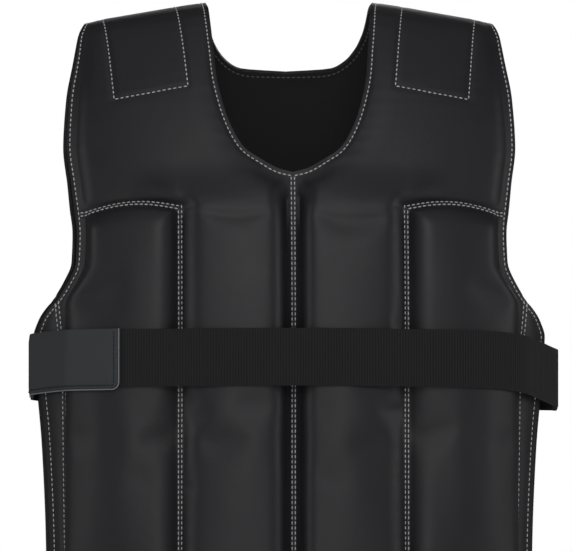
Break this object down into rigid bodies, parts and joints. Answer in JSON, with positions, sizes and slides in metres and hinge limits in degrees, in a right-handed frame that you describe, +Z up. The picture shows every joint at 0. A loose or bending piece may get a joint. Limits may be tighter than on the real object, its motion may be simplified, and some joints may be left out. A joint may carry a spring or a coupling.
{
  "type": "weighted vest",
  "caption": "Pull-over weighted vest with padded vertical channels front and back, open sides and a ribbed elastic belt closed by a tab",
  "frame": {"origin": "middle of the neck at the underside of the shoulder crest, where the straps sit on the shoulders", "axes": "+X to the wearer's left, +Y to the back, +Z up"},
  "size_m": [0.4815, 0.2806, 0.5571],
  "materials": {
    "leather": "black imitation leather, soft satin",
    "lining": "black woven lining",
    "webbing": "black ribbed elastic webbing",
    "tab": "dark grey imitation leather",
    "piping": "light grey piping",
    "thread": "light grey sewing thread"
  },
  "bodies": {
    "root": {"front_chest_left": "leather", "front_chest_right": "leather", "front_pocket_left": "leather", "front_pocket_right": "leather", "back_chest_left": "leather", "back_chest_right": "leather", "back_pocket_left": "leather", "back_pocket_right": "leather", "lining_front": "lining", "lining_back": "lining", "belt": "webbing", "belt_tab": "tab", "tab_piping": "piping"}
  },
  "joints": []
}
